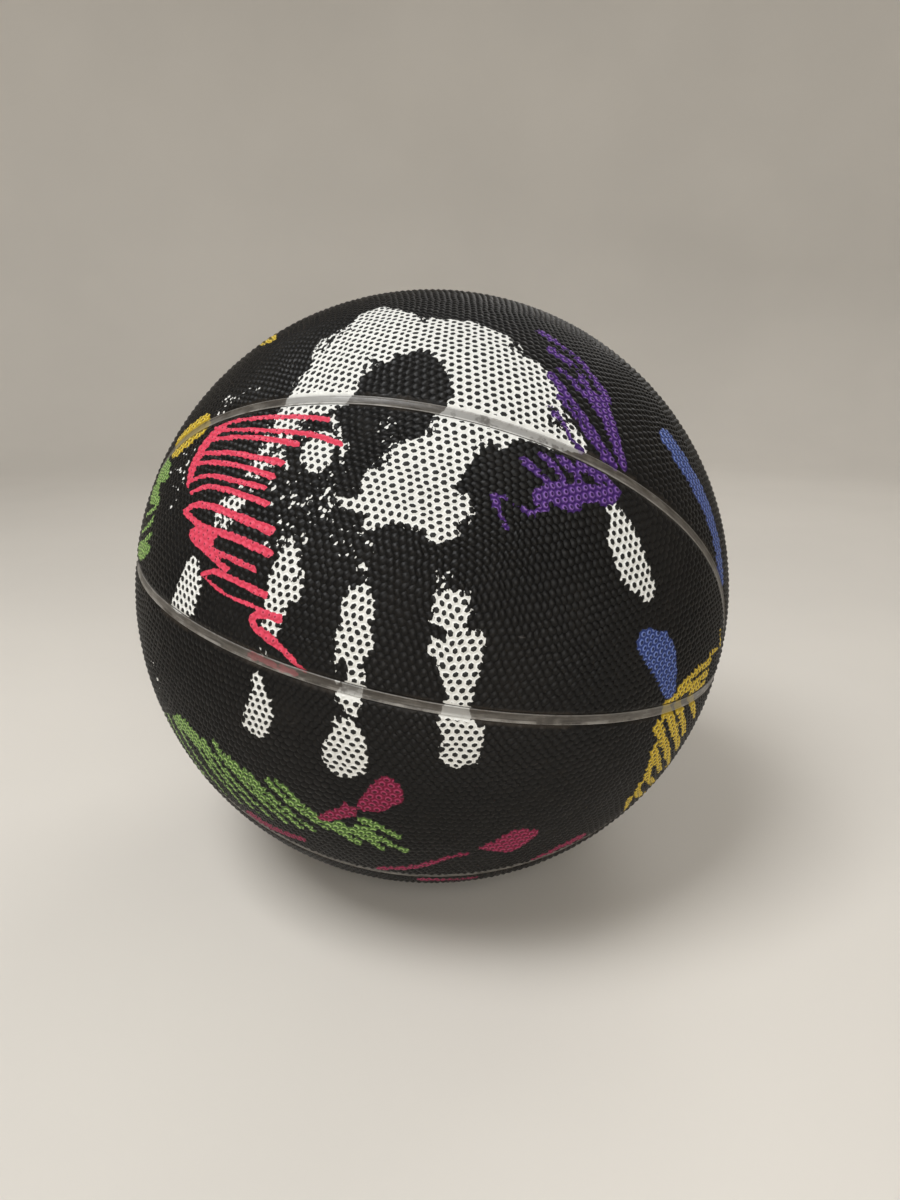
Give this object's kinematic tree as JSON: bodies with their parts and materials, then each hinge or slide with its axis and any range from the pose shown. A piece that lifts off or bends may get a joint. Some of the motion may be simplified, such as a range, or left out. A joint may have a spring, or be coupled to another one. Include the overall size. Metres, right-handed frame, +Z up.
{
  "type": "deflated basketball",
  "caption": "Moulded rubber basketball, a little under-inflated and resting on a flat spot, with pebbled cover panels, seam strips, a wound carcass, a bladder and a needle valve.",
  "frame": {"origin": "on the floor, under the middle of the ball, at the middle of its flat spot", "axes": "+Z up, -Y towards the printed side, +X to the right as that side is looked at"},
  "size_m": [0.238, 0.238, 0.2335],
  "materials": {
    "cover_rubber": "matte pebbled rubber, black, with worn paint marks",
    "strip_rubber": "smooth translucent grey rubber, slightly dirty",
    "valve_rubber": "smooth dark rubber",
    "wound_thread": "nylon thread wound in every direction and set in rubber",
    "bladder_rubber": "smooth butyl rubber"
  },
  "bodies": {
    "root": {"leaf_panel_front_upper": "cover_rubber", "leaf_panel_front_lower": "cover_rubber", "leaf_panel_rear_upper": "cover_rubber", "leaf_panel_rear_lower": "cover_rubber", "band_panel_front_upper": "cover_rubber", "band_panel_front_lower": "cover_rubber", "band_panel_rear_upper": "cover_rubber", "band_panel_rear_lower": "cover_rubber", "seam_bow_front_upper": "strip_rubber", "seam_bow_front_lower": "strip_rubber", "seam_bow_rear_upper": "strip_rubber", "seam_bow_rear_lower": "strip_rubber", "seam_ring": "strip_rubber", "seam_arch_upper": "strip_rubber", "seam_arch_lower": "strip_rubber", "valve": "valve_rubber", "wound_carcass": "wound_thread", "bladder": "bladder_rubber"}
  },
  "joints": []
}
